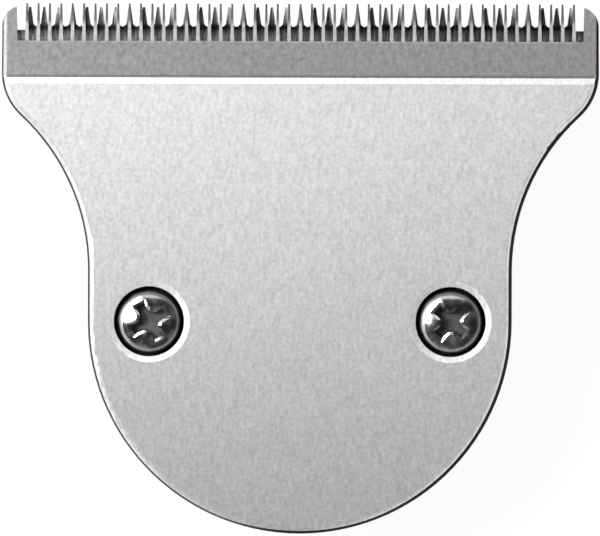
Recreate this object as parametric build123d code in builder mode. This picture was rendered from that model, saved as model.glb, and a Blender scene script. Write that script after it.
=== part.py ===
from build123d import *
from math import acos, asin, degrees, floor, sin
import os

# T-shaped trimmer blade set, in millimetres.
# +Z points out of the skin side of the comb plate and +Y towards the teeth.
# The origin is midway between the two screws, on the rear face that seats on the trimmer.

# Comb plate, as seen from the skin side
head_width = 40.0
base_radius = 14.2
side_rise = 3.4
waist_radius = 14.1
shoulder_radius = 3.9
head_side = 3.155
end_corner_radius = 1.35
plate_thickness = 2.2
face_round = 0.45
facet_width = 0.42
facet_drop = 0.06
band_step = 0.08
band_depth = 4.81
band_side_round = 0.35
hollow_depth = 0.25
front_land = 2.6
rear_land = 1.4

# Comb teeth
comb_pitch = 0.764
comb_tooth_length = 2.52
comb_tip_lead = 0.17
comb_slot_width = 0.5
comb_tip_width = 0.12
comb_tip_thickness = 0.3
end_tooth_width = 1.0

# Moving cutter
stroke = 0.6
cutter_end_margin = 0.1
cutter_thickness = 1.1
cutter_wing_depth = 5.4
cutter_heel_width = 22.0
cutter_setback = 0.23
cutter_pitch = comb_pitch * 5 / 4
cutter_tooth_length = 1.3
cutter_gullet_width = 0.44
cutter_gullet_corner = 0.15
cutter_tip_width = 0.16
cutter_tip_thickness = 0.35
cutter_end_land = 0.2
cutter_end_drop = 0.25
cutter_back_bevel = 4.9

# Captive screws
screw_diameter = 2.5
screw_shank_diameter = 2.0
screw_head_diameter = 4.2
screw_head_height = 1.5
screw_crown_radius = 5.0
screw_rim_round = 0.45
screw_recess_width = 2.7
screw_recess_arm = 0.82
screw_recess_core = 1.5
screw_recess_depth = 1.0
screw_recess_taper = 9
screw_tip_chamfer = 0.3
screw_seat_depth = 1.1
screw_seat_clearance = 0.25
screw_seat_flare = 0.4
screw_seat_flare_depth = 0.06
screw_seat_land = 0.9
stud_length = 3.3
left_recess_turn = 29
right_recess_turn = 47

# Clamped stack behind the plate
clamp_thickness = 2.0
clamp_width = 6.8
clamp_chamfer = 0.3
spring_thickness = 0.4
spacer_thickness = 1.2
spacer_tongue = 5.05
spacer_inset = 1.2
spacer_corner_radius = 1.2

# Leaf spring arms
arm_width = 2.8
arm_bend_radius = 1.2
arm_tip_lift = 0.5

# Drive guide
guide_length = 5.8
guide_rear_margin = 0.5
guide_flange_thickness = 1.2
guide_flange_length = 4.8
guide_corner_radius = 0.6
fork_wall = 1.6
fork_web = 1.4
drive_slot_width = 4.4
peg_diameter = 2.0
peg_recess = 0.15

# Clearances
run_gap = 0.03
guide_gap = 0.05
peg_clearance = 0.05
arm_clearance = 0.4
screw_hole_clearance = 0.1
tapped_clearance = 0.02

# Levels up from the seat
spring_level = clamp_thickness
spacer_level = spring_level + spring_thickness
slide_level = spacer_level + spacer_thickness
face_level = slide_level + plate_thickness
band_level = face_level - facet_drop - band_step
tip_level = slide_level + comb_tip_thickness
screw_seat_level = face_level - screw_seat_depth
cutter_top = slide_level - run_gap
cutter_back = cutter_top - cutter_thickness
flange_back = cutter_back - guide_flange_thickness
arm_level = flange_back - run_gap

# As many gaps as the comb has room for, with a tooth on the centre line
comb_room = head_width / 2 - end_tooth_width - comb_slot_width / 2
comb_slots = 2 * floor(comb_room / comb_pitch + 1 / 2)
last_slot = comb_pitch * (comb_slots - 1) / 2

# Places along the blade, up from the line of the screws
arc_span = base_radius + waist_radius - (head_width / 2 - shoulder_radius)
shoulder_turn = acos(arc_span / (waist_radius + shoulder_radius))
shoulder_height = side_rise + (waist_radius + shoulder_radius) * sin(shoulder_turn)
corner_turn = acos(max(0, 1 - (head_width / 2 - last_slot) / end_corner_radius))
end_tooth_top = shoulder_height + head_side + end_corner_radius * sin(corner_turn)
comb_tip = end_tooth_top + comb_tip_lead
comb_root = comb_tip - comb_tooth_length
band_start = end_tooth_top - band_depth
cutter_tip = comb_tip - cutter_setback
cutter_root = cutter_tip - cutter_tooth_length
spacer_front = clamp_width / 2 + spacer_tongue
heel = spacer_front + guide_gap
guide_middle = heel + guide_rear_margin + guide_length / 2

# Places across the blade
screw_seat_radius = screw_head_diameter / 2 + screw_seat_clearance
screw_x = base_radius - face_round - screw_seat_land - screw_seat_flare - screw_seat_radius
cutter_half = head_width / 2 - stroke - cutter_end_margin
fork_half = drive_slot_width / 2 + fork_wall
arm_x = fork_half + stroke + arm_clearance + arm_width / 2
flange_half = arm_x + arm_width / 2 + stroke + arm_clearance
screw_places = [(-screw_x, 0), (screw_x, 0)]
peg_places = [(-arm_x, guide_middle), (arm_x, guide_middle)]

# As many teeth as the cutter has room for, one on the centre line
cutter_root_width = cutter_pitch - cutter_gullet_width
cutter_room = cutter_half - cutter_end_land - cutter_root_width / 2
cutter_teeth = 2 * floor(cutter_room / cutter_pitch) + 1
last_tooth = cutter_pitch * (cutter_teeth - 1) / 2

os.makedirs("parts", exist_ok=True)


def write(piece, name):
    """Label a finished piece and write it to its own file."""
    piece.part.label = name
    export_step(piece.part, f"parts/{name}.step")


def gap_outline(root_width, mouth_width, depth):
    """Outline of the gap between two teeth, with its narrow root on y = 0."""
    return [
        (-root_width / 2, 0),
        (root_width / 2, 0),
        (mouth_width / 2, depth),
        (-mouth_width / 2, depth),
    ]


# Outline of the comb plate: round base, drawn-in waist and wide head
with BuildSketch() as plate_outline:
    with BuildLine():
        base = JernArc((0, -base_radius), (1, 0), base_radius, 90)
        side = Line(base @ 1, base @ 1 + Vector(0, side_rise))
        waist = JernArc(side @ 1, side % 1, waist_radius, -degrees(shoulder_turn))
        shoulder = JernArc(waist @ 1, waist % 1, shoulder_radius, degrees(shoulder_turn))
        head = Line(shoulder @ 1, shoulder @ 1 + Vector(0, head_side))
        end_tooth = JernArc(head @ 1, head % 1, end_corner_radius, degrees(corner_turn))
        lead = Line(end_tooth @ 1, (last_slot, comb_tip))
        Line(lead @ 1, (0, comb_tip))
        mirror(about=Plane.YZ)
    make_face()

# Outline shared by the pieces that the screws clamp
with BuildSketch() as clamp_outline:
    SlotCenterToCenter(2 * screw_x, clamp_width)

# Comb plate
with BuildPart() as fixed_blade:
    # Blank with a square head, its rim rounded all the way
    with BuildSketch(Plane.XY.offset(slide_level)):
        add(plate_outline.sketch)
        with Locations((0, shoulder_height)):
            Rectangle(
                head_width,
                comb_tip + face_round - shoulder_height,
                align=(Align.CENTER, Align.MIN),
            )
    extrude(amount=plate_thickness)
    fillet(fixed_blade.faces().sort_by(Axis.Z)[-1].edges(), face_round)
    # Head trimmed to the end teeth and the line of the tips
    with BuildSketch(Plane.XY.offset(slide_level)):
        add(plate_outline.sketch)
    extrude(amount=plate_thickness, mode=Mode.INTERSECT)
    # Bright facet, small step and ground band that falls to the thin tips
    with BuildSketch(Plane.YZ):
        with BuildLine():
            Polyline(
                (band_start - facet_width, face_level),
                (band_start, face_level - facet_drop),
                (band_start, band_level),
                (comb_tip, tip_level),
                (comb_tip, face_level),
                close=True,
            )
        make_face()
    extrude(amount=head_width, both=True, mode=Mode.SUBTRACT)
    # Rounded sides of the band
    band_run = Vector(0, comb_tip - band_start, tip_level - band_level)
    with BuildSketch(Plane((0, band_start, band_level), x_dir=(1, 0, 0), z_dir=band_run)):
        with Locations((-head_width / 2, 0), (head_width / 2, 0)):
            Rectangle(2 * band_side_round, 2 * band_side_round)
        round_x = head_width / 2 - band_side_round
        with Locations((-round_x, band_side_round), (round_x, band_side_round)):
            Circle(band_side_round, mode=Mode.SUBTRACT)
    extrude(amount=band_run.length, mode=Mode.SUBTRACT)
    # Screw recesses with a flared rim
    with Locations(*[(x, y, face_level) for x, y in screw_places]):
        CounterBoreHole(
            screw_diameter / 2 + screw_hole_clearance, screw_seat_radius, screw_seat_depth
        )
        Cone(
            screw_seat_radius,
            screw_seat_radius + screw_seat_flare,
            screw_seat_flare_depth,
            align=(Align.CENTER, Align.CENTER, Align.MAX),
            mode=Mode.SUBTRACT,
        )
    # Hollow ground across the back between the two lands that the cutter slides on
    hollow_front = comb_root - front_land
    hollow_rear = heel + rear_land
    with BuildSketch(Plane.XY.offset(slide_level)):
        with Locations((0, (hollow_front + hollow_rear) / 2)):
            Rectangle(head_width, hollow_front - hollow_rear)
    extrude(amount=hollow_depth, mode=Mode.SUBTRACT)
    # Gaps between the comb teeth
    with BuildSketch(Plane.XY.offset(slide_level)):
        with Locations((0, comb_root)):
            with GridLocations(comb_pitch, 0, comb_slots, 1):
                Polygon(
                    *gap_outline(comb_slot_width, comb_pitch - comb_tip_width, comb_tooth_length),
                    align=None,
                )
    extrude(amount=plate_thickness, mode=Mode.SUBTRACT)
write(fixed_blade, "fixed_blade")

# Moving cutter
with BuildPart() as moving_cutter:
    wing_rear = cutter_tip - cutter_wing_depth
    with BuildSketch(Plane.XY.offset(cutter_back)):
        with BuildLine():
            Polyline(
                (-cutter_heel_width / 2, heel),
                (cutter_heel_width / 2, heel),
                (cutter_half, wing_rear),
                (cutter_half, cutter_tip),
                (-cutter_half, cutter_tip),
                (-cutter_half, wing_rear),
                close=True,
            )
        make_face()
    extrude(amount=cutter_thickness)
    # Back ground away towards the tips
    with BuildSketch(Plane.YZ):
        with BuildLine():
            Polyline(
                (cutter_tip - cutter_back_bevel, cutter_back),
                (cutter_tip, cutter_top - cutter_tip_thickness),
                (cutter_tip, cutter_back),
                close=True,
            )
        make_face()
    extrude(amount=head_width, both=True, mode=Mode.SUBTRACT)
    # Gullets between the teeth, with their corners cut off
    with BuildSketch(Plane.XY.offset(cutter_back)) as gullets:
        with Locations((0, cutter_root)):
            with GridLocations(cutter_pitch, 0, cutter_teeth - 1, 1):
                Polygon(
                    *gap_outline(
                        cutter_gullet_width, cutter_pitch - cutter_tip_width, cutter_tooth_length
                    ),
                    align=None,
                )
        chamfer(gullets.vertices().group_by(Axis.Y)[0], cutter_gullet_corner)
    extrude(amount=cutter_thickness, mode=Mode.SUBTRACT)
    # Lower lands at both ends
    with BuildSketch(Plane.XY.offset(cutter_back)):
        with BuildLine():
            Polyline(
                (last_tooth + cutter_tip_width / 2, cutter_tip),
                (last_tooth + cutter_root_width / 2, cutter_root - cutter_end_drop),
                (cutter_half, cutter_root - cutter_end_drop),
                (cutter_half, cutter_tip),
                close=True,
            )
        make_face()
        mirror(about=Plane.YZ)
    extrude(amount=cutter_thickness, mode=Mode.SUBTRACT)
    # Holes for the pegs of the drive guide
    with Locations(*[(x, y, cutter_top) for x, y in peg_places]):
        Hole(peg_diameter / 2 + peg_clearance)
write(moving_cutter, "moving_cutter")

# Drive guide
with BuildPart() as drive_guide:
    with BuildSketch(Plane.XY.offset(flange_back)):
        with Locations((0, guide_middle)):
            RectangleRounded(2 * flange_half, guide_flange_length, guide_corner_radius)
    extrude(amount=guide_flange_thickness)
    # Fork for the drive pin, open towards the trimmer
    with BuildSketch(Plane.XY.offset(-stud_length)):
        with Locations((0, guide_middle)):
            RectangleRounded(2 * fork_half, guide_length, guide_corner_radius)
        with Locations((0, guide_middle - fork_web)):
            Rectangle(drive_slot_width, guide_length, mode=Mode.SUBTRACT)
    extrude(amount=stud_length + flange_back)
    # Pegs through the cutter
    with BuildSketch(Plane.XY.offset(cutter_back)):
        with Locations(*peg_places):
            Circle(peg_diameter / 2)
    extrude(amount=cutter_thickness - peg_recess)
write(drive_guide, "drive_guide")

# Guide spacer
with BuildPart() as guide_spacer:
    with BuildSketch(Plane.XY.offset(spacer_level)) as tongue:
        with Locations((0, spacer_front / 2)):
            Rectangle(2 * (base_radius - spacer_inset), spacer_front)
        fillet(tongue.vertices().group_by(Axis.Y)[-1], spacer_corner_radius)
        add(clamp_outline.sketch)
        with Locations(*screw_places):
            Circle(screw_diameter / 2 + screw_hole_clearance, mode=Mode.SUBTRACT)
    extrude(amount=spacer_thickness)
write(guide_spacer, "guide_spacer")

# Leaf spring
with BuildPart() as tension_spring:
    with BuildSketch(Plane.XY.offset(spring_level)):
        add(clamp_outline.sketch)
        with Locations(*screw_places):
            Circle(screw_diameter / 2 + screw_hole_clearance, mode=Mode.SUBTRACT)
    extrude(amount=spring_thickness)
    # Arms bent back to lie on the guide's flange
    flange_rear = guide_middle - guide_flange_length / 2
    flange_front = guide_middle + guide_flange_length / 2
    for x in (-arm_x, arm_x):
        with BuildSketch(Plane.YZ.offset(x)):
            with BuildLine():
                arm = FilletPolyline(
                    (clamp_width / 2 - arm_bend_radius, spacer_level),
                    (clamp_width / 2, spacer_level),
                    (flange_rear - arm_clearance, arm_level),
                    (guide_middle + arm_bend_radius, arm_level),
                    (flange_front, arm_level - arm_tip_lift),
                    radius=arm_bend_radius,
                )
                offset(arm, spring_thickness, side=Side.RIGHT)
            make_face()
        extrude(amount=arm_width / 2, both=True)
write(tension_spring, "tension_spring")

# Clamp plate
with BuildPart() as clamp_plate:
    with BuildSketch():
        add(clamp_outline.sketch)
    extrude(amount=clamp_thickness)
    chamfer(clamp_plate.faces().sort_by(Axis.Z)[0].edges(), clamp_chamfer)
    with Locations(*screw_places):
        Hole(screw_diameter / 2 + tapped_clearance)
write(clamp_plate, "clamp_plate")

# Screws, with a thin shank through the stack and the thread behind the seat
crown_turn = degrees(asin(screw_head_diameter / 2 / screw_crown_radius))
screw_end = -stud_length - screw_seat_level
for name, x, recess_turn in (
    ("screw_left", -screw_x, left_recess_turn),
    ("screw_right", screw_x, right_recess_turn),
):
    with BuildPart() as screw:
        with BuildSketch(Plane((x, 0, screw_seat_level), x_dir=(1, 0, 0), z_dir=(0, -1, 0))):
            with BuildLine():
                crown = JernArc((0, screw_head_height), (1, 0), screw_crown_radius, -crown_turn)
                Polyline(
                    crown @ 1,
                    (screw_head_diameter / 2, 0),
                    (screw_shank_diameter / 2, 0),
                    (screw_shank_diameter / 2, -screw_seat_level),
                    (screw_diameter / 2, -screw_seat_level),
                    (screw_diameter / 2, screw_end + screw_tip_chamfer),
                    (screw_diameter / 2 - screw_tip_chamfer, screw_end),
                    (0, screw_end),
                    (0, screw_head_height),
                )
            make_face()
        revolve(axis=Axis((x, 0, 0), (0, 0, 1)))
        head_wall = screw.faces().filter_by(GeomType.CYLINDER).sort_by(Axis.Z)[-1]
        fillet(head_wall.edges().filter_by(GeomType.CIRCLE).sort_by(Axis.Z)[-1], screw_rim_round)
        # Cross recess in the crown
        crown_top = Plane((x, 0, screw_seat_level + screw_head_height))
        with BuildSketch(crown_top.rotated((0, 0, recess_turn))):
            Rectangle(screw_recess_width, screw_recess_arm)
            Rectangle(screw_recess_arm, screw_recess_width)
            Rectangle(screw_recess_core, screw_recess_core, rotation=45)
        extrude(amount=-screw_recess_depth, taper=screw_recess_taper, mode=Mode.SUBTRACT)
    write(screw, name)
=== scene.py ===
# %% [markdown]
# # A trimmer blade set in a small studio
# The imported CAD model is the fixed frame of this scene: a comb plate, a cutter
# that slides behind it, and the pieces that the two screws clamp. This lesson
# gives each of them its finish and remakes the two screws with real threads.

# %% Load the frame
import math

import bmesh
import bpy
from mathutils import Matrix, Vector


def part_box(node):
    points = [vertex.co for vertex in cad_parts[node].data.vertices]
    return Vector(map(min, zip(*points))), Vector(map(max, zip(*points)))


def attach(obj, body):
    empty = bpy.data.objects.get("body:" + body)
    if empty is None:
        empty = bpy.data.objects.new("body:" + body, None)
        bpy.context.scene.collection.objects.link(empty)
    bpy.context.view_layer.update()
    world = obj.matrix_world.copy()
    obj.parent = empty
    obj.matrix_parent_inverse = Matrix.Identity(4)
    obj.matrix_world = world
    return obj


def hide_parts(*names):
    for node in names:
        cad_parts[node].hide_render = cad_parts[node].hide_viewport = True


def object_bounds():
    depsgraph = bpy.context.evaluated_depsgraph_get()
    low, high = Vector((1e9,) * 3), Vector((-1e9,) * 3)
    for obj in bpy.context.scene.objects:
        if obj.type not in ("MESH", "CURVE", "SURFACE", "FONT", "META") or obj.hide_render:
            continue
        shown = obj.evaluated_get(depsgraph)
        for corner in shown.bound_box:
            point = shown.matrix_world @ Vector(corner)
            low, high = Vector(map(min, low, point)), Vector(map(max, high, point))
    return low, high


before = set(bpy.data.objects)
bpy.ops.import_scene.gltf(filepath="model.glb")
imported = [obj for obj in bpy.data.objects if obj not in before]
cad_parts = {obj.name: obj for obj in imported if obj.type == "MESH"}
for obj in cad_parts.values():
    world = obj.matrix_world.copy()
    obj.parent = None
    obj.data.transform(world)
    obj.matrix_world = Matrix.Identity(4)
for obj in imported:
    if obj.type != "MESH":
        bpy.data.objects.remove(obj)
cad_low, cad_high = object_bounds()
MM = 0.001
print("CAD box in mm:", [round(x / MM, 2) for x in cad_high - cad_low])

# %% [markdown]
# ## Camera
# The blade was pictured square on to its skin side, with hardly any
# perspective, and turned by 0.15 degrees. An orthographic camera would do it,
# but a very long lens keeps other views of the scene fitting too, so a long
# lens it is. Its height follows from the width that the picture covers at the
# level of the face.

# %% Camera
PICTURE_WIDTH = 40.174 * MM
PICTURE_CENTRE = (0.007 * MM, 3.595 * MM)
PICTURE_TURN = math.radians(0.15)
FACE_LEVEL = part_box("fixed_blade")[1].z

camera_data = bpy.data.cameras.new("square_on")
camera_data.lens = 1000
camera_data.sensor_width = 36
camera_data.clip_end = 5
rise = PICTURE_WIDTH / camera_data.sensor_width * camera_data.lens
camera = bpy.data.objects.new("square_on", camera_data)
camera.location = (*PICTURE_CENTRE, FACE_LEVEL + rise)
camera.rotation_euler = (0, 0, PICTURE_TURN)
bpy.context.collection.objects.link(camera)
bpy.context.scene.camera = camera
bpy.context.scene.view_settings.view_transform = "Standard"
print("camera", round(rise, 3), "m above the face")

# %% [markdown]
# ## Nodes
# Every finish below is a small node tree. It could be wired by hand in the
# shader editor, but a script can be read and run again. One helper adds a node
# and sets or links its inputs in the same line, which keeps the trees short.
# The others do the sums, the ranges and the ramps that the finishes share.

# %% Nodes and sums
def put(tree, kind, inputs=None, **options):
    """Add a node, set its options, and set or link its inputs."""
    made = tree.nodes.new("ShaderNode" + kind)
    for option, value in options.items():
        setattr(made, option, value)
    for socket, value in (inputs or {}).items():
        if isinstance(value, bpy.types.NodeSocket):
            tree.links.new(value, made.inputs[socket])
        else:
            made.inputs[socket].default_value = value
    return made


def sums(tree, operation, first, second):
    """Combine two numbers, of which either may come from a node."""
    return put(tree, "Math", {0: first, 1: second}, operation=operation).outputs[0]


def unsigned(tree, number):
    """Drop the sign of a number."""
    return put(tree, "Math", {0: number}, operation="ABSOLUTE").outputs[0]


def distance(tree, x, y):
    """Length of a step by x and y."""
    step = put(tree, "CombineXYZ", {0: x, 1: y})
    return put(tree, "VectorMath", {0: step.outputs[0]}, operation="LENGTH").outputs["Value"]


print("sums ready")

# %% Ranges and ramps
def spread(tree, value, low, high, out_low, out_high):
    """Map a number from one range to another, held at both ends."""
    inputs = {0: value, 1: low, 2: high, 3: out_low, 4: out_high}
    return put(tree, "MapRange", inputs).outputs[0]


def blend(tree, share, first, second):
    """Go from a first number to a second as the share goes from 0 to 1."""
    return spread(tree, share, 0.0, 1.0, first, second)


def ramp(tree, value, stops):
    """Shades at set places along a number, each a grey level or a colour."""
    made = put(tree, "ValToRGB", {0: value})
    levels = made.color_ramp.elements
    while len(levels) < len(stops):
        levels.new(1.0)
    for level, (at, shade) in zip(levels, stops):
        colour = shade if isinstance(shade, tuple) else (shade, shade, shade)
        level.position = at
        level.color = (*colour, 1)
    return made.outputs[0]


print("ranges and ramps ready")

# %% [markdown]
# ## Floor
# The picture was cut out on white. The floor could be lit until it is white,
# but that would flood the metal with light from below. It is plain white to
# the camera and to reflections instead, and an ordinary pale surface to all
# other light, with enough of that mixed in to keep a faint shadow. Seen from
# below it is clear, so that the back of the blade set can be looked at.

# %% Floor shape
FLOOR_HALF = 3000 * MM

bm = bmesh.new()
bmesh.ops.create_grid(bm, x_segments=1, y_segments=1, size=FLOOR_HALF)
bmesh.ops.translate(bm, verts=bm.verts, vec=(0, 0, cad_low.z))
floor_mesh = bpy.data.meshes.new("floor")
bm.to_mesh(floor_mesh)
bm.free()
floor = bpy.data.objects.new("floor", floor_mesh)
bpy.context.collection.objects.link(floor)
print("floor at", round(cad_low.z / MM, 2), "mm")

# %% Floor finish
PALE_GREY = (0.8, 0.8, 0.8, 1)
SHADOW_GREY = (0.12, 0.12, 0.12, 1)
FLOOR_GLOW = 0.92

floor_finish = bpy.data.materials.new("white_floor")
floor_finish.use_nodes = True
tree = floor_finish.node_tree
tree.nodes.clear()
path = put(tree, "LightPath").outputs
seen = sums(tree, "MAXIMUM", path["Is Camera Ray"], path["Is Glossy Ray"])
seen = sums(tree, "MAXIMUM", seen, path["Is Transmission Ray"])
pale = put(tree, "BsdfDiffuse", {"Color": PALE_GREY})
shadow = put(tree, "BsdfDiffuse", {"Color": SHADOW_GREY})
glow = put(tree, "Emission", {"Color": (1, 1, 1, 1), "Strength": FLOOR_GLOW})
white = put(tree, "AddShader", {0: glow.outputs[0], 1: shadow.outputs[0]})
top = put(tree, "MixShader", {0: seen, 1: pale.outputs[0], 2: white.outputs[0]})
under = put(tree, "NewGeometry").outputs["Backfacing"]
clear = put(tree, "BsdfTransparent")
both = put(tree, "MixShader", {0: under, 1: top.outputs[0], 2: clear.outputs[0]})
put(tree, "OutputMaterial", {"Surface": both.outputs[0]})
floor_mesh.materials.append(floor_finish)
print("floor finish:", len(tree.nodes), "nodes")

# %% [markdown]
# ## Lamps
# A satin plate shows what hangs above it, so lighting it is mostly a matter of
# what it mirrors. A small softbox hangs close over the upper left: close,
# because the brightness falls off across a face only a few centimetres wide.
# Two lamps further off on that side give the screws and the lips of their
# recesses sharp white patches. Two pale cards, at the left and beyond the
# teeth, are what the rounded rims show. One big light would be simpler, but
# would leave the face flat.

# %% Lamps
def softbox(name, place, aim, size, radiance):
    """Hang a lamp that the camera doesn't see; all lengths are in mm."""
    width, depth = [side * MM for side in size]
    hung_at = Vector([part * MM for part in place])
    away = Vector([part * MM for part in aim]) - hung_at
    lamp = bpy.data.lights.new(name, "AREA")
    lamp.shape = "RECTANGLE"
    lamp.size = width
    lamp.size_y = depth
    lamp.energy = radiance * math.pi * width * depth
    lamp_object = bpy.data.objects.new(name, lamp)
    lamp_object.location = hung_at
    lamp_object.rotation_euler = away.to_track_quat("-Z", "Y").to_euler()
    lamp_object.visible_camera = False
    bpy.context.collection.objects.link(lamp_object)


softbox("key", (-48, 26, 66), aim=(-10, 10, 0), size=(50, 50), radiance=2.0)
softbox("far_lamp", (-178, 48, 236), aim=(0, 0, 0), size=(84, 84), radiance=26.4)
softbox("upper_lamp", (-98, 157, 236), aim=(0, 0, 0), size=(70, 70), radiance=3.0)
softbox("left_card", (-188, -36, 85), aim=(0, 0, 0), size=(300, 120), radiance=1.8)
softbox("top_card", (-60, 150, 140), aim=(-60, 0, 0), size=(380, 80), radiance=0.86)

# %% [markdown]
# ## Room
# The room is dark overhead and pale near the floor, as a studio with light
# walls is, so that the blade doesn't turn black when it is seen from low down.
# An even grey would be plainer, but would wash out the face from above. The
# pale wall is brighter and a little taller behind the blade's base, where a
# view from beyond the teeth finds it mirrored in the face.

# %% Room
WALL_LIGHT = 0.75
CEILING_LIGHT = 0.03
BASE_WALL_RISE = 0.12
BASE_WALL_STRENGTH = 1.7

world = bpy.data.worlds.new("room")
bpy.context.scene.world = world
world.use_nodes = True
tree = world.node_tree
ray = put(tree, "SeparateXYZ", {0: put(tree, "TexCoord").outputs["Generated"]}).outputs
wall_rise = spread(tree, ray["Y"], -0.8, -0.1, BASE_WALL_RISE, 0.0)
above_wall = sums(tree, "SUBTRACT", ray["Z"], wall_rise)
light = ramp(tree, above_wall, [(0.25, WALL_LIGHT), (0.6, CEILING_LIGHT)])
strength = spread(tree, ray["Y"], -0.6, -0.1, BASE_WALL_STRENGTH, 1.0)
backdrop = tree.nodes["Background"].inputs
tree.links.new(light, backdrop["Color"])
tree.links.new(strength, backdrop["Strength"])
print("room:", len(tree.nodes), "nodes")

# %% [markdown]
# ## Finishes and grain
# Each finish starts from one Principled shader and is given to a CAD node once
# it is done. Rolling, brushing and grinding leave streaks, and moulding leaves
# pits. An image of such marks would blur in a close-up, so noise makes them,
# and a Mapping node draws it out along the axes with the smaller scales. A
# brushed metal also spreads the light across its grain, which the shader is
# told by a tangent.

# %% Finishes
def new_finish(name):
    """Start a material whose output takes a Principled shader."""
    finish = bpy.data.materials.new(name)
    finish.use_nodes = True
    tree = finish.node_tree
    tree.nodes.clear()
    shader = put(tree, "BsdfPrincipled")
    put(tree, "OutputMaterial", {"Surface": shader.outputs["BSDF"]})
    return finish, tree, shader


def dress(node, finish):
    """Give a CAD node its finish."""
    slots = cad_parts[node].data.materials
    slots.clear()
    slots.append(finish)


print("CAD nodes to dress:", len(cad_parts))

# %% Grain
BUMP_DEPTH = 0.02 * MM


def streaks(tree, where, scale, detail=3.0):
    """Noise drawn out along the axes with the smaller scales."""
    stretched = put(tree, "Mapping", {"Vector": where, "Scale": scale}).outputs[0]
    noise = {"Vector": stretched, "Scale": 1.0, "Detail": detail}
    return put(tree, "TexNoise", noise).outputs[0]


def across_grain(tree, normal):
    """Tangent that lies across a grain that runs towards the teeth."""
    sides = {0: (0, 1, 0), 1: normal}
    return put(tree, "VectorMath", sides, operation="CROSS_PRODUCT").outputs[0]


def emboss(tree, shader, height, strength):
    """Bump the surface by a number."""
    bump = {"Strength": strength, "Distance": BUMP_DEPTH, "Height": height}
    tree.links.new(put(tree, "Bump", bump).outputs[0], shader.inputs["Normal"])


print("bumps are up to", round(BUMP_DEPTH / MM, 3), "mm deep")

# %% [markdown]
# ## Blade steel
# The comb plate is stamped steel with a satin face whose fine grain runs
# towards the teeth. Its sloping band is ground and looks darker. The facet
# between band and face is burnished, and its tone is raised further as a
# painted highlight. The foot of the band has a painted shade, and the teeth
# have painted light: bright at their roots and darker towards their tips.
# Each surface could have a material of its own, but all of it is one mesh, so
# one material tells the surfaces apart by where they are. That stays sharp at
# any size. The grain is noise drawn out along the blade, with an even mottle
# over it, and larger blotches on the ground band.

# %% Blade steel: zones
END_TOOTH = 18.6 * MM
ZONES_LOW = 15.5 * MM
ZONES_HIGH = 21.5 * MM
# Places along the blade, as shares of the way from ZONES_LOW to ZONES_HIGH
FACE_END = 0.063
FACET_START = 0.067
FACET_END = 0.137
BAND_START = 0.14
ZONE_TONES = [
    (FACE_END, 0.475),
    # Burnished facet, its tone raised further as a painted highlight
    (FACET_START, 0.72),
    (FACET_END, 0.72),
    # Painted shade at the foot of the band, then the band itself
    (BAND_START, 0.27),
    (0.162, 0.27),
    (0.175, 0.39),
    (0.525, 0.39),
    # Teeth with a painted highlight, and their tips with painted shade
    (0.57, 0.66),
    (0.725, 0.66),
    (0.79, 0.22),
    (0.967, 0.14),
]

blade_finish, tree, shader = new_finish("blade_steel")
coords = put(tree, "TexCoord").outputs
place = put(tree, "SeparateXYZ", {0: coords["Object"]}).outputs
aside = unsigned(tree, place["X"])
along = spread(tree, place["Y"], ZONES_LOW, ZONES_HIGH, 0, 1)
# The broad teeth at both ends look like the band
end_tooth = spread(tree, aside, END_TOOTH, END_TOOTH + 0.1 * MM, 1.0, 0.4)
along = sums(tree, "MINIMUM", along, end_tooth)
zone_tone = ramp(tree, along, ZONE_TONES)
print("blade steel: zones in", len(tree.nodes), "nodes")

# %% Blade steel: grain
grain = streaks(tree, coords["Object"], (5500, 1800, 1800))
mottle = streaks(tree, coords["Object"], (4000, 4000, 4000), detail=2.0)
blotches = streaks(tree, coords["Object"], (3200, 2200, 2200), detail=1.0)
grain_tone = spread(tree, sums(tree, "ADD", grain, mottle), 0.65, 1.35, 0.84, 1.16)
band_share = ramp(tree, along, [(0.15, 0.0), (0.18, 0.5)])
band_tone = sums(tree, "MULTIPLY", band_share, sums(tree, "SUBTRACT", blotches, 0.5))
grain_tone = sums(tree, "ADD", grain_tone, band_tone)
print("blade steel: grain added,", len(tree.nodes), "nodes")

# %% [markdown]
# ## Seats of the blade
# Round each screw the plate is countersunk a little. The tool left that flare
# rough, and its tone is raised as a painted highlight, most of all on the side
# that faces the lamps. The gap inside it gets a painted shade. Paint on the
# faces of the mesh could mark it, but the distance from the screw's axis finds
# it more sharply.

# %% Blade steel: seats
SCREW_X = 10.1 * MM
FLARE_REACH = 2.74 * MM
GAP_REACH = 2.33 * MM
PAINTED_GAP_DARK = 0.03

facing = put(tree, "SeparateXYZ", {0: coords["Normal"]}).outputs
reach = distance(tree, sums(tree, "SUBTRACT", aside, SCREW_X), place["Y"])
seat = spread(tree, reach, FLARE_REACH, FLARE_REACH + 0.01 * MM, 1.0, 0.0)
# Painted highlight on the flare, brighter on the side that faces the lamps
toward_lamps = sums(tree, "SUBTRACT", facing["Y"], facing["X"])
painted_flare_highlight = spread(tree, toward_lamps, -0.1, 0.1, 1.38, 1.7)
# Painted shade in the gap inside the flare
painted_gap_shade = spread(tree, reach, GAP_REACH, GAP_REACH + 0.03 * MM, PAINTED_GAP_DARK, 1.0)
painted_seat_light = sums(tree, "MULTIPLY", blend(tree, seat, 1.0, painted_flare_highlight), painted_gap_shade)
print("blade steel: seats added,", len(tree.nodes), "nodes")

# %% [markdown]
# ## Rims of the blade
# The stamped rims have lost their grain. Their tone is painted by the way they
# face: those on the left get a painted lit tone, the others a duller painted
# tone, and all end in a painted dark line where the rim turns down, which
# stands for the dark surroundings that the rim mirrors there. A worn edge could
# be found with a Bevel node, but here the lean of the surface away from the
# face marks it.

# %% Blade steel: rims
FACET_SLOPE = 0.141
BAND_SLOPE = 0.333
PAINTED_LIT_RIM_TONE = 0.5
PAINTED_LOWER_RIM_TONE = 0.5

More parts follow.
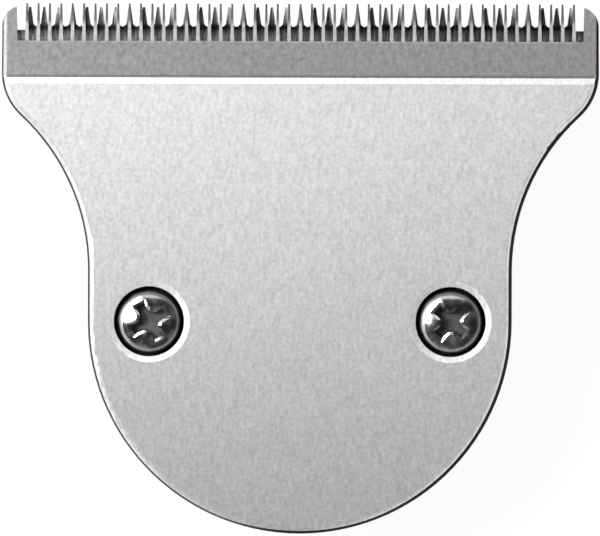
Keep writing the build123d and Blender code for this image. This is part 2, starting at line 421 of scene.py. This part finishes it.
slopes = [
    (FACE_END, 0.0),
    (FACET_START, FACET_SLOPE),
    (FACET_END, FACET_SLOPE),
    (BAND_START, BAND_SLOPE),
]
# How far a surface leans away from the face, the facet or the sloping band
slope = ramp(tree, along, slopes)
lean = distance(tree, facing["X"], sums(tree, "SUBTRACT", facing["Y"], slope))
rim = blend(tree, seat, spread(tree, lean, 0.03, 0.1, 0.0, 1.0), 0.0)
# What faces left gets a painted lit tone, the rest a painted dull tone
painted_lit_side = spread(tree, facing["X"], -0.25, -0.05, 1.0, 0.0)
painted_right_rim_tone = ramp(tree, along, [(FACET_END, 1.0), (BAND_START, 0.42)])
painted_dull_rim_tone = spread(tree, facing["X"], 0.0, 0.3, PAINTED_LOWER_RIM_TONE, painted_right_rim_tone)
zone_tone = blend(tree, rim, zone_tone, blend(tree, painted_lit_side, painted_dull_rim_tone, PAINTED_LIT_RIM_TONE))
print("blade steel: rims added,", len(tree.nodes), "nodes")

# %% Blade steel: painted dark line
# The line starts at a smaller lean on the right, which makes it wider there
line_start = spread(tree, facing["X"], 0.1, 0.3, 0.68, 0.47)
line_start = sums(tree, "MINIMUM", line_start, blend(tree, painted_lit_side, 0.56, 0.68))
line_end = sums(tree, "ADD", line_start, 0.06)
# Painted dark line, which stands for the dark surroundings that the turned-down rim mirrors
painted_rim_line = spread(tree, lean, line_start, line_end, 1.0, blend(tree, painted_lit_side, 0.04, 0.1))
# Upright walls are plain again
wall_tone = spread(tree, unsigned(tree, facing["Z"]), 0.1, 0.2, 0.6, 0.0)
painted_rim_line = sums(tree, "MAXIMUM", painted_rim_line, wall_tone)
print("blade steel: dark line added,", len(tree.nodes), "nodes")

# %% [markdown]
# ## Shine of the blade
# A brushed face spreads the light across its grain much more than along it.
# A bump of thousands of fine scratches would do that only in a close-up, so
# the shader's anisotropy does it, turned by a tangent that lies across the
# blade. The ground band and the rims have no such grain.

# %% Blade steel: shine
tone = sums(tree, "MULTIPLY", zone_tone, grain_tone)
tone = sums(tree, "MULTIPLY", sums(tree, "MULTIPLY", tone, painted_rim_line), painted_seat_light)
tree.links.new(tone, shader.inputs["Base Color"])

rough = ramp(tree, along, [(FACET_END, 0.55), (BAND_START, 0.33)])
rough = blend(tree, seat, rough, 0.7)
rough = blend(tree, rim, rough, blend(tree, painted_lit_side, 0.78, 0.48))
tree.links.new(rough, shader.inputs["Roughness"])

brushed = ramp(tree, along, [(FACET_END, 0.9), (BAND_START, 0.0)])
brushed = blend(tree, seat, brushed, 0.36)
brushed = blend(tree, rim, brushed, 0.0)
tree.links.new(brushed, shader.inputs["Anisotropic"])
tree.links.new(across_grain(tree, coords["Normal"]), shader.inputs["Tangent"])

shader.inputs["Metallic"].default_value = 1.0
emboss(tree, shader, grain, strength=0.1)
dress("fixed_blade", blade_finish)
print("blade steel:", len(tree.nodes), "nodes")

# %% [markdown]
# ## Cutter steel
# The cutter is hardened steel, ground on a wheel, so its streaks are finer
# and stronger than the grain of the face. Between the comb's teeth it shows in
# the shade: grey and streaked at the bottom of each slot, almost black below
# its own gullets, and dark on its teeth. The depth of the slots gives some of
# that shade, and the rest is painted shade, a ramp along the teeth.

# %% Cutter steel
SLOTS_LOW = 18.5 * MM
SLOTS_HIGH = 21.0 * MM
# Painted shade at shares of the way from SLOTS_LOW to SLOTS_HIGH
SLOT_PAINTED_SHADES = [(0.2, 0.85), (0.45, 0.06), (0.52, 0.06), (0.62, 0.3)]
STREAK_TONES = [(0.0, 0.8), (0.1, 0.4)]

cutter_finish, tree, shader = new_finish("cutter_steel")
coords = put(tree, "TexCoord").outputs
place = put(tree, "SeparateXYZ", {0: coords["Object"]}).outputs
along = spread(tree, place["Y"], SLOTS_LOW, SLOTS_HIGH, 0, 1)
grain = streaks(tree, coords["Object"], (9000, 1200, 1200))
streak_tone = spread(tree, grain, 0.35, 0.65, ramp(tree, along, STREAK_TONES), 1.1)
tone = sums(tree, "MULTIPLY", ramp(tree, along, SLOT_PAINTED_SHADES), streak_tone)
tree.links.new(tone, shader.inputs["Base Color"])
tree.links.new(spread(tree, grain, 0.25, 0.75, 0.55, 0.45), shader.inputs["Roughness"])
tree.links.new(across_grain(tree, coords["Normal"]), shader.inputs["Tangent"])
shader.inputs["Anisotropic"].default_value = 0.9
shader.inputs["Metallic"].default_value = 1.0
dress("moving_cutter", cutter_finish)
print("cutter steel:", len(tree.nodes), "nodes")

# %% [markdown]
# ## Screws
# Each screw has a low crown with a cross recess, a thin shank that keeps it
# captive, and a thread that stands out behind the seat. The recess, crown and
# shank grow from one ring of edges, extruded again and again, so that the
# crown stays smooth right up to the recess. A Boolean would be quicker, but it
# would leave uneven faces in the crown, which mirrors the softbox.

# %% Screw shape: recess and crown
SEAT = 4.7 * MM
CROWN_TOP = SEAT + 1.5 * MM
CROWN_RADIUS = 5.0 * MM
ARM_REACH = 1.35 * MM
ARM_HALF = 0.41 * MM
CORNER_RADIUS = 0.41 * MM
CORNER_MIDDLE = ARM_HALF + CORNER_RADIUS
# Stands in for a sine or cosine of zero
TINY = 1e-6


def cross_reach(angle, inset):
    """Distance from the middle to the wall of the cross recess."""
    cosine = abs(math.cos(angle))
    sine = abs(math.sin(angle))
    reach = ARM_REACH - inset
    half = ARM_HALF - inset
    arms = max(
        min(reach / max(cosine, TINY), half / max(sine, TINY)),
        min(half / max(cosine, TINY), reach / max(sine, TINY)),
    )
    # Rounded corner between two arms
    near = CORNER_MIDDLE * (cosine + sine)
    inner = near**2 - 2 * CORNER_MIDDLE**2 + (CORNER_RADIUS + inset) ** 2
    if min(cosine, sine) * CORNER_MIDDLE < max(cosine, sine) * half or inner < 0:
        return arms
    return max(arms, near - math.sqrt(inner))


def crown_height(reach):
    """Height of the crown at a distance from the screw's axis."""
    return CROWN_TOP - CROWN_RADIUS + math.sqrt(CROWN_RADIUS**2 - reach**2)


print("recess reaches", round(cross_reach(0, 0) / MM, 2), "mm along an arm")

# %% Screw shape: growing a ring
def set_corner(corner, reach, height):
    """Move a corner along its angle to a reach, and to the height there."""
    angle = math.atan2(corner.co.y, corner.co.x)
    out = reach(angle)
    corner.co = (out * math.cos(angle), out * math.sin(angle), height(out))


def grow(bm, ring, reach, height):
    """Extrude a ring of edges, set its corners and return the new ring."""
    made = bmesh.ops.extrude_edge_only(bm, edges=ring)["geom"]
    for part in made:
        if isinstance(part, bmesh.types.BMVert):
            set_corner(part, reach, height)
    return [part for part in made if isinstance(part, bmesh.types.BMEdge)]


print("ring helpers ready")

# %% Screw shape: head and shank
RING_CORNERS = 144
LIP = 0.09 * MM
RECESS_FLOOR = CROWN_TOP - 1.0 * MM
RECESS_TAPER = 0.2 * MM
RECESS_MIDDLE = 0.2 * MM
HEAD_RADIUS = 2.1 * MM
RIM_RADIUS = 0.45 * MM
RIM_MIDDLE = HEAD_RADIUS - RIM_RADIUS
# The arc of the rim touches the crown, which gives its angle and its level
RIM_ANGLE = math.acos(RIM_MIDDLE / (CROWN_RADIUS - RIM_RADIUS))
CROWN_END = CROWN_RADIUS * math.cos(RIM_ANGLE)
RIM_LEVEL = crown_height(CROWN_END) - RIM_RADIUS * math.sin(RIM_ANGLE)
CROWN_STEPS = 10
RIM_STEPS = 8
SHANK_RADIUS = 1.0 * MM
SHANK_END = -3.3 * MM
END_CHAMFER = 0.25 * MM
# Reach and height of the head's wall, its underside, the shank and its end
BELOW_RIM = [
    (HEAD_RADIUS, SEAT),
    (SHANK_RADIUS, SEAT),
    (SHANK_RADIUS, SHANK_END + END_CHAMFER),
    (SHANK_RADIUS - END_CHAMFER, SHANK_END),
]


def head_and_shank(bm):
    """Grow the recess inwards and the rest outwards from the recess's mouth."""
    bmesh.ops.create_circle(bm, segments=RING_CORNERS, radius=1.0)
    for corner in bm.verts:
        set_corner(corner, lambda angle: cross_reach(angle, -LIP), crown_height)
    mouth = list(bm.edges)
    # Lip, walls and floor of the recess
    ring = grow(
        bm,
        mouth,
        lambda angle: cross_reach(angle, LIP),
        lambda out: crown_height(out) - LIP,
    )
    ring = grow(bm, ring, lambda angle: cross_reach(angle, RECESS_TAPER), lambda out: RECESS_FLOOR)
    ring = grow(bm, ring, lambda angle: RECESS_MIDDLE, lambda out: RECESS_FLOOR)
    bmesh.ops.edgeloop_fill(bm, edges=ring)
    # Crown, which turns the cross into a circle
    ring = mouth
    for step in range(1, CROWN_STEPS + 1):
        share = step / CROWN_STEPS
        ring = grow(
            bm,
            ring,
            lambda angle: cross_reach(angle, -LIP) * (1 - share) + CROWN_END * share,
            crown_height,
        )
    # Rounded rim
    for step in range(1, RIM_STEPS + 1):
        angle_left = RIM_ANGLE * (1 - step / RIM_STEPS)
        reach = RIM_MIDDLE + RIM_RADIUS * math.cos(angle_left)
        height = RIM_LEVEL + RIM_RADIUS * math.sin(angle_left)
        ring = grow(bm, ring, lambda angle: reach, lambda out: height)
    for reach, height in BELOW_RIM:
        ring = grow(bm, ring, lambda angle: reach, lambda out: height)
    bmesh.ops.edgeloop_fill(bm, edges=ring)


print("crown is", round((CROWN_TOP - SEAT) / MM, 2), "mm high")

# %% [markdown]
# ## Thread
# The screws' ends are cut with a fine thread. A bump would do from afar, but
# the thread shows in outline from the side, so it is real: a small ridge,
# spun along the shank as it turns.

# %% Screw shape: thread
PITCH = 0.45 * MM
TURNS = 6
STEPS_PER_TURN = 36
THREAD_START = -3.0 * MM
# Reach and height of the ridge's corners, in mm
RIDGE = [(0.92, -0.2), (1.25, -0.04), (1.25, 0.04), (0.92, 0.2)]


def cut_thread(bm):
    """Spin a ridge along the shank."""
    corners = [bm.verts.new((out * MM, 0, THREAD_START + up * MM)) for out, up in RIDGE]
    ridge = bm.faces.new(corners)
    bmesh.ops.spin(
        bm,
        geom=[ridge, *ridge.edges, *ridge.verts],
        axis=(0, 0, 1),
        cent=(0, 0, 0),
        dvec=(0, 0, PITCH / STEPS_PER_TURN),
        angle=math.tau * TURNS,
        steps=STEPS_PER_TURN * TURNS,
    )


print("thread is", round(PITCH * TURNS / MM, 2), "mm long")

# %% Screws in place
SHARP_ANGLE = math.radians(18)


def make_screw(name, x, turn):
    """Build a screw in place, turned by so many degrees, and return its object."""
    bm = bmesh.new()
    head_and_shank(bm)
    cut_thread(bm)
    bmesh.ops.recalc_face_normals(bm, faces=bm.faces)
    for face in bm.faces:
        face.smooth = True
    for edge in bm.edges:
        edge.smooth = edge.calc_face_angle(0) < SHARP_ANGLE
    bm.transform(Matrix.Translation((x, 0, 0)) @ Matrix.Rotation(math.radians(turn), 4, "Z"))
    mesh = bpy.data.meshes.new(name)
    bm.to_mesh(mesh)
    bm.free()
    screw = bpy.data.objects.new(name, mesh)
    bpy.context.collection.objects.link(screw)
    return screw


screws = []
for side, x, turn in (("left", -SCREW_X, 29), ("right", SCREW_X, 47)):
    screw = make_screw(f"threaded_screw_{side}", x, turn)
    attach(screw, "blade")
    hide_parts(f"screw_{side}")
    screws.append(screw)
    print(screw.name, len(screw.data.polygons), "faces")

# %% [markdown]
# ## Screw plating
# The screws are nickel plated, darker and much smoother than the satin face,
# so that the crown shows a lamp as a sharp white patch. The plating is a
# little cloudy, and it is dull inside the recess, where a driver has been, and
# on the rim, which is also darkened as a painted shade. Plain chrome would
# look new and empty here, so noise varies both the shade and the gloss.

# %% Screw plating: where it is dull
RIM_START = 1.74 * MM
RIM_FULL = 1.8 * MM
RECESS_FULL = 1.45 * MM
RECESS_END = 1.5 * MM
# Middle of the heights that the recess takes up, and how far they go from it
RECESS_LEVEL = 5.35 * MM
RECESS_SPAN = 0.35 * MM

screw_finish, tree, shader = new_finish("screw_plating")
coords = put(tree, "TexCoord").outputs
place = put(tree, "SeparateXYZ", {0: coords["Object"]}).outputs
across = sums(tree, "SUBTRACT", unsigned(tree, place["X"]), SCREW_X)
reach = distance(tree, across, place["Y"])
levels = {0: place["Z"], 1: RECESS_LEVEL, 2: RECESS_SPAN}
deep = put(tree, "Math", levels, operation="COMPARE").outputs[0]
recess = blend(tree, spread(tree, reach, RECESS_FULL, RECESS_END, 1.0, 0.0), 0.0, deep)
print("screw plating: recess found in", len(tree.nodes), "nodes")

# %% Screw plating: shade and gloss
bloom = streaks(tree, coords["Object"], (1500, 1500, 1500))
# The rim is darker: partly duller plating, partly a painted shade
rim_painted_shade = spread(tree, reach, RIM_START, RIM_FULL, 1.0, 0.4)
tone = sums(tree, "MULTIPLY", spread(tree, bloom, 0.3, 0.7, 0.55, 0.8), rim_painted_shade)
tone = sums(tree, "MULTIPLY", tone, blend(tree, recess, 1.0, 0.22))
tree.links.new(tone, shader.inputs["Base Color"])

rim_rough = spread(tree, reach, RIM_START, RIM_FULL, 0.0, 0.25)
rough = sums(tree, "ADD", spread(tree, bloom, 0.3, 0.7, 0.07, 0.15), rim_rough)
tree.links.new(blend(tree, recess, rough, 0.5), shader.inputs["Roughness"])

metal = spread(tree, bloom, 0.4, 0.65, 1.0, 0.91)
tree.links.new(blend(tree, recess, metal, 0.75), shader.inputs["Metallic"])
for screw in screws:
    screw.data.materials.append(screw_finish)
print("screw plating:", len(tree.nodes), "nodes")

# %% [markdown]
# ## Nylon
# Nothing of the pieces behind the plate shows in the picture, and their
# finishes are what such pieces usually have. The drive guide is moulded from
# natural nylon: off white, with faint flow marks and the fine pits of a
# spark-eroded mould. A plain plastic would do, but the pits break up its gloss
# as on the real one.

# %% Nylon
NYLON_SHADES = [(0.3, (0.76, 0.74, 0.67)), (0.7, (0.87, 0.86, 0.82))]

nylon_finish, tree, shader = new_finish("guide_nylon")
coords = put(tree, "TexCoord").outputs
flow = streaks(tree, coords["Object"], (300, 900, 300))
pits = streaks(tree, coords["Object"], (7000, 7000, 7000), detail=1.0)
tree.links.new(ramp(tree, flow, NYLON_SHADES), shader.inputs["Base Color"])
tree.links.new(spread(tree, pits, 0.3, 0.7, 0.42, 0.58), shader.inputs["Roughness"])
emboss(tree, shader, pits, strength=0.3)
dress("drive_guide", nylon_finish)
print("nylon:", len(tree.nodes), "nodes")

# %% [markdown]
# ## Spring steel
# The leaf spring is cut from tempered strip, blue-grey with fine rolling lines
# along its arms. Long thin scratches could be modelled, but they are far finer
# than the strip, so noise drawn out along the arms shades them.

# %% Spring steel
SPRING_SHADES = [(0.3, (0.27, 0.28, 0.31)), (0.7, (0.42, 0.42, 0.43))]

spring_finish, tree, shader = new_finish("spring_steel")
coords = put(tree, "TexCoord").outputs
rolled = streaks(tree, coords["Object"], (9000, 500, 500))
tree.links.new(ramp(tree, rolled, SPRING_SHADES), shader.inputs["Base Color"])
tree.links.new(spread(tree, rolled, 0.3, 0.7, 0.42, 0.28), shader.inputs["Roughness"])
shader.inputs["Metallic"].default_value = 1.0
dress("tension_spring", spring_finish)
print("spring steel:", len(tree.nodes), "nodes")

# %% [markdown]
# ## Zinc plated steel
# The spacer and the clamp plate are stamped and zinc plated: fine flecks on
# the flat sides, and drag marks from the punch on the walls. Two materials
# could share the work, but one serves, since it tells a wall by the way it
# faces.

# %% Zinc plated steel
ZINC_SHADES = [(0.3, (0.44, 0.45, 0.48)), (0.7, (0.63, 0.63, 0.63))]

zinc_finish, tree, shader = new_finish("plain_steel")
coords = put(tree, "TexCoord").outputs
facing = put(tree, "SeparateXYZ", {0: coords["Normal"]}).outputs
wall = spread(tree, unsigned(tree, facing["Z"]), 0.2, 0.5, 1.0, 0.0)
flecks = streaks(tree, coords["Object"], (2500, 2500, 2500))
drag = streaks(tree, coords["Object"], (6000, 6000, 500))
grain = blend(tree, wall, flecks, drag)
tree.links.new(ramp(tree, grain, ZINC_SHADES), shader.inputs["Base Color"])
tree.links.new(spread(tree, grain, 0.3, 0.7, 0.35, 0.5), shader.inputs["Roughness"])
shader.inputs["Metallic"].default_value = 1.0
emboss(tree, shader, grain, strength=0.2)
dress("guide_spacer", zinc_finish)
dress("clamp_plate", zinc_finish)
print("zinc plate:", len(tree.nodes), "nodes")
